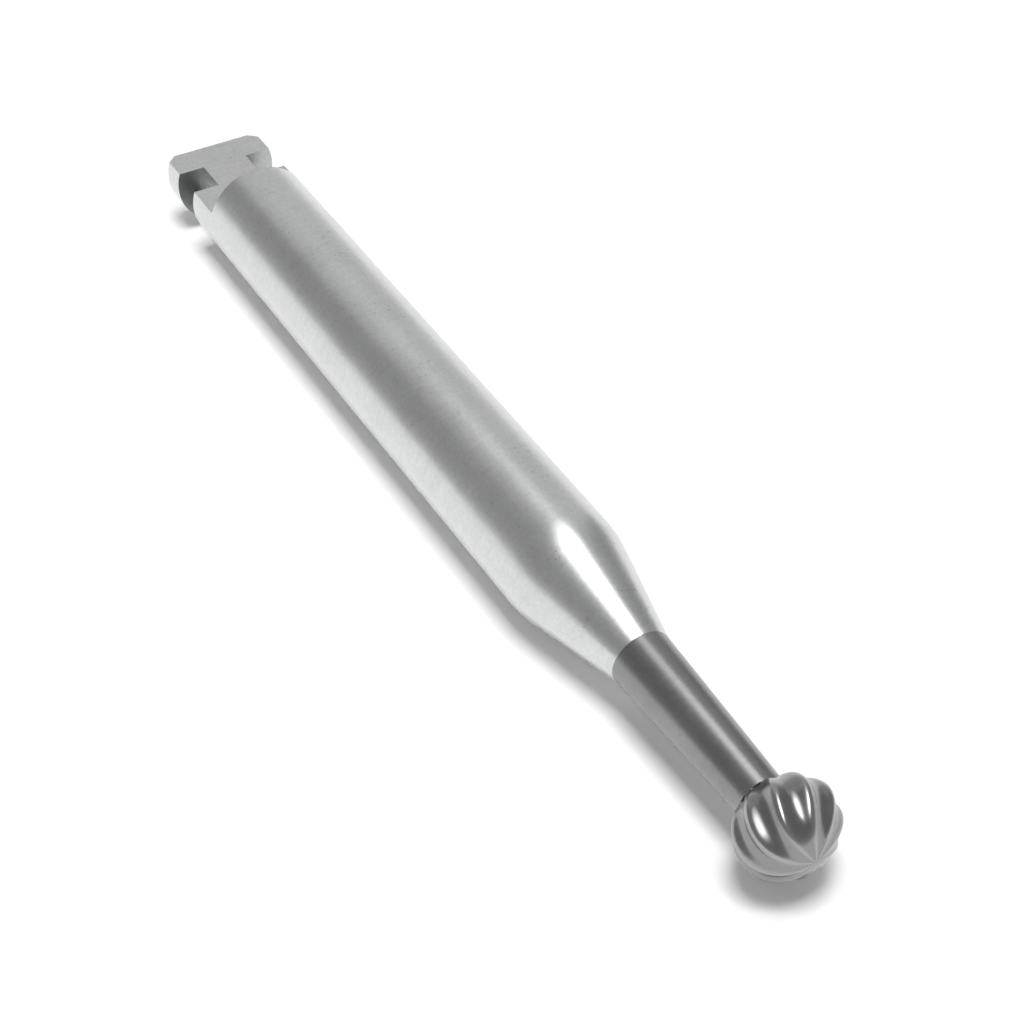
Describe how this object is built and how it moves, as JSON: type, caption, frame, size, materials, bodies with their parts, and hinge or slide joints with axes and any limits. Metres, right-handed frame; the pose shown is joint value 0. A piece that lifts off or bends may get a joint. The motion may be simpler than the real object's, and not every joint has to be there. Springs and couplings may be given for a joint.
{
  "type": "debonding bur",
  "caption": "Slim rotary cutting bur lying on its side: a turned steel latch shank that tapers to a dark carbide neck with a small fluted ball.",
  "frame": {"origin": "centre of the latch end face, on the axis of the shank", "axes": "+X along the axis of the bur from the latch end to the tip of the ball, +Z out of the flat of the latch, which faces up as the bur lies on a surface"},
  "size_m": [0.0235, 0.0024, 0.0024],
  "materials": {
    "shank_steel": "fine turned satin steel",
    "carbide": "ground and polished dark tungsten carbide"
  },
  "bodies": {
    "root": {"shank": "shank_steel", "carbide_head": "carbide"}
  },
  "joints": []
}
